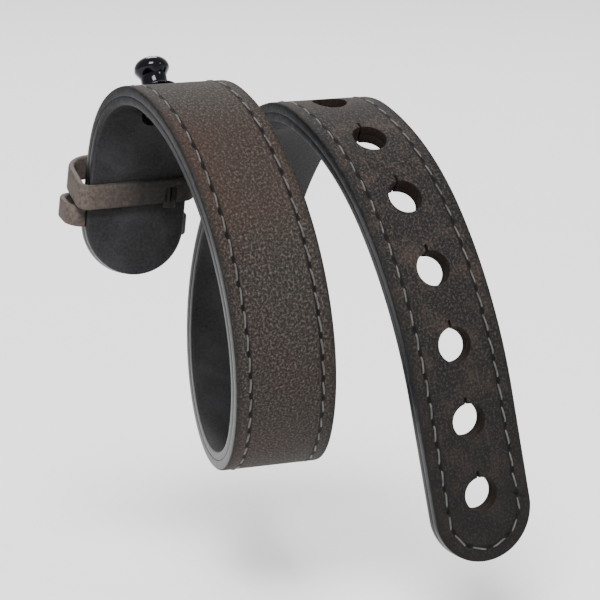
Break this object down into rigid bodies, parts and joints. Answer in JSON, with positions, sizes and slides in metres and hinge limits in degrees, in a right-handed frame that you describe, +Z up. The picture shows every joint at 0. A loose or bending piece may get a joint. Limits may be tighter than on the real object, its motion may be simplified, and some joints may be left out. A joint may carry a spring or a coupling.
{
  "type": "leather wrap strap",
  "caption": "Two-ply stitched leather strap wound in an open coil, with a ball stud at one end, punched holes at the other and two leather keepers.",
  "frame": {"origin": "the stud's seat: where the stud's axis meets the grain side of the tab", "axes": "+Z up; +X is the way the coil advances; the coil's turns lie in planes across X, with the tongue in front at -Y"},
  "size_m": [0.0752, 0.0737, 0.0931],
  "materials": {
    "outer_leather": "oiled pull-up leather, brown-grey, matt with worn spots",
    "lining_leather": "smooth near-black lining with painted edge",
    "keeper_leather": "brown-grey leather, lighter where it bends",
    "black_nickel": "polished black nickel",
    "thread": "waxed grey polyester thread"
  },
  "bodies": {
    "strap_loop": {"outer_leather_loop": "outer_leather", "lining_loop": "lining_leather", "thread_loop": "thread"},
    "strap_tab": {"outer_leather_tab": "outer_leather", "lining_tab": "lining_leather", "thread_tab": "thread", "keeper_fixed": "keeper_leather"},
    "strap_tongue": {"outer_leather_tongue": "outer_leather", "lining_tongue": "lining_leather", "thread_tongue": "thread"},
    "keeper_ring": {"keeper_floating": "keeper_leather"},
    "ball_stud": {"stud_post": "black_nickel", "stud_screw": "black_nickel"}
  },
  "joints": [
    {"name": "tab_flex", "type": "hinge", "parent": "strap_loop", "child": "strap_tab", "pos_m": [0.0015, -0.01, 0.00085], "axis": [1, 0, 0], "range_deg": [-20, 25], "stiffness_Nm_per_rad": 0.05},
    {"name": "tongue_flex", "type": "hinge", "parent": "strap_loop", "child": "strap_tongue", "pos_m": [0.03159, 0.00246, -0.007], "axis": [1, 0, 0], "range_deg": [-35, 15], "stiffness_Nm_per_rad": 0.1},
    {"name": "keeper_slide", "type": "slide", "parent": "strap_tab", "child": "keeper_ring", "axis": [0.1564, 0.1375, 0.9781], "range_m": [0, 0.0055]},
    {"name": "stud_swivel", "type": "hinge", "parent": "strap_tab", "child": "ball_stud", "pos_m": [0, 0, 0], "axis": [0, 0.5332, 0.846], "continuous": true}
  ]
}
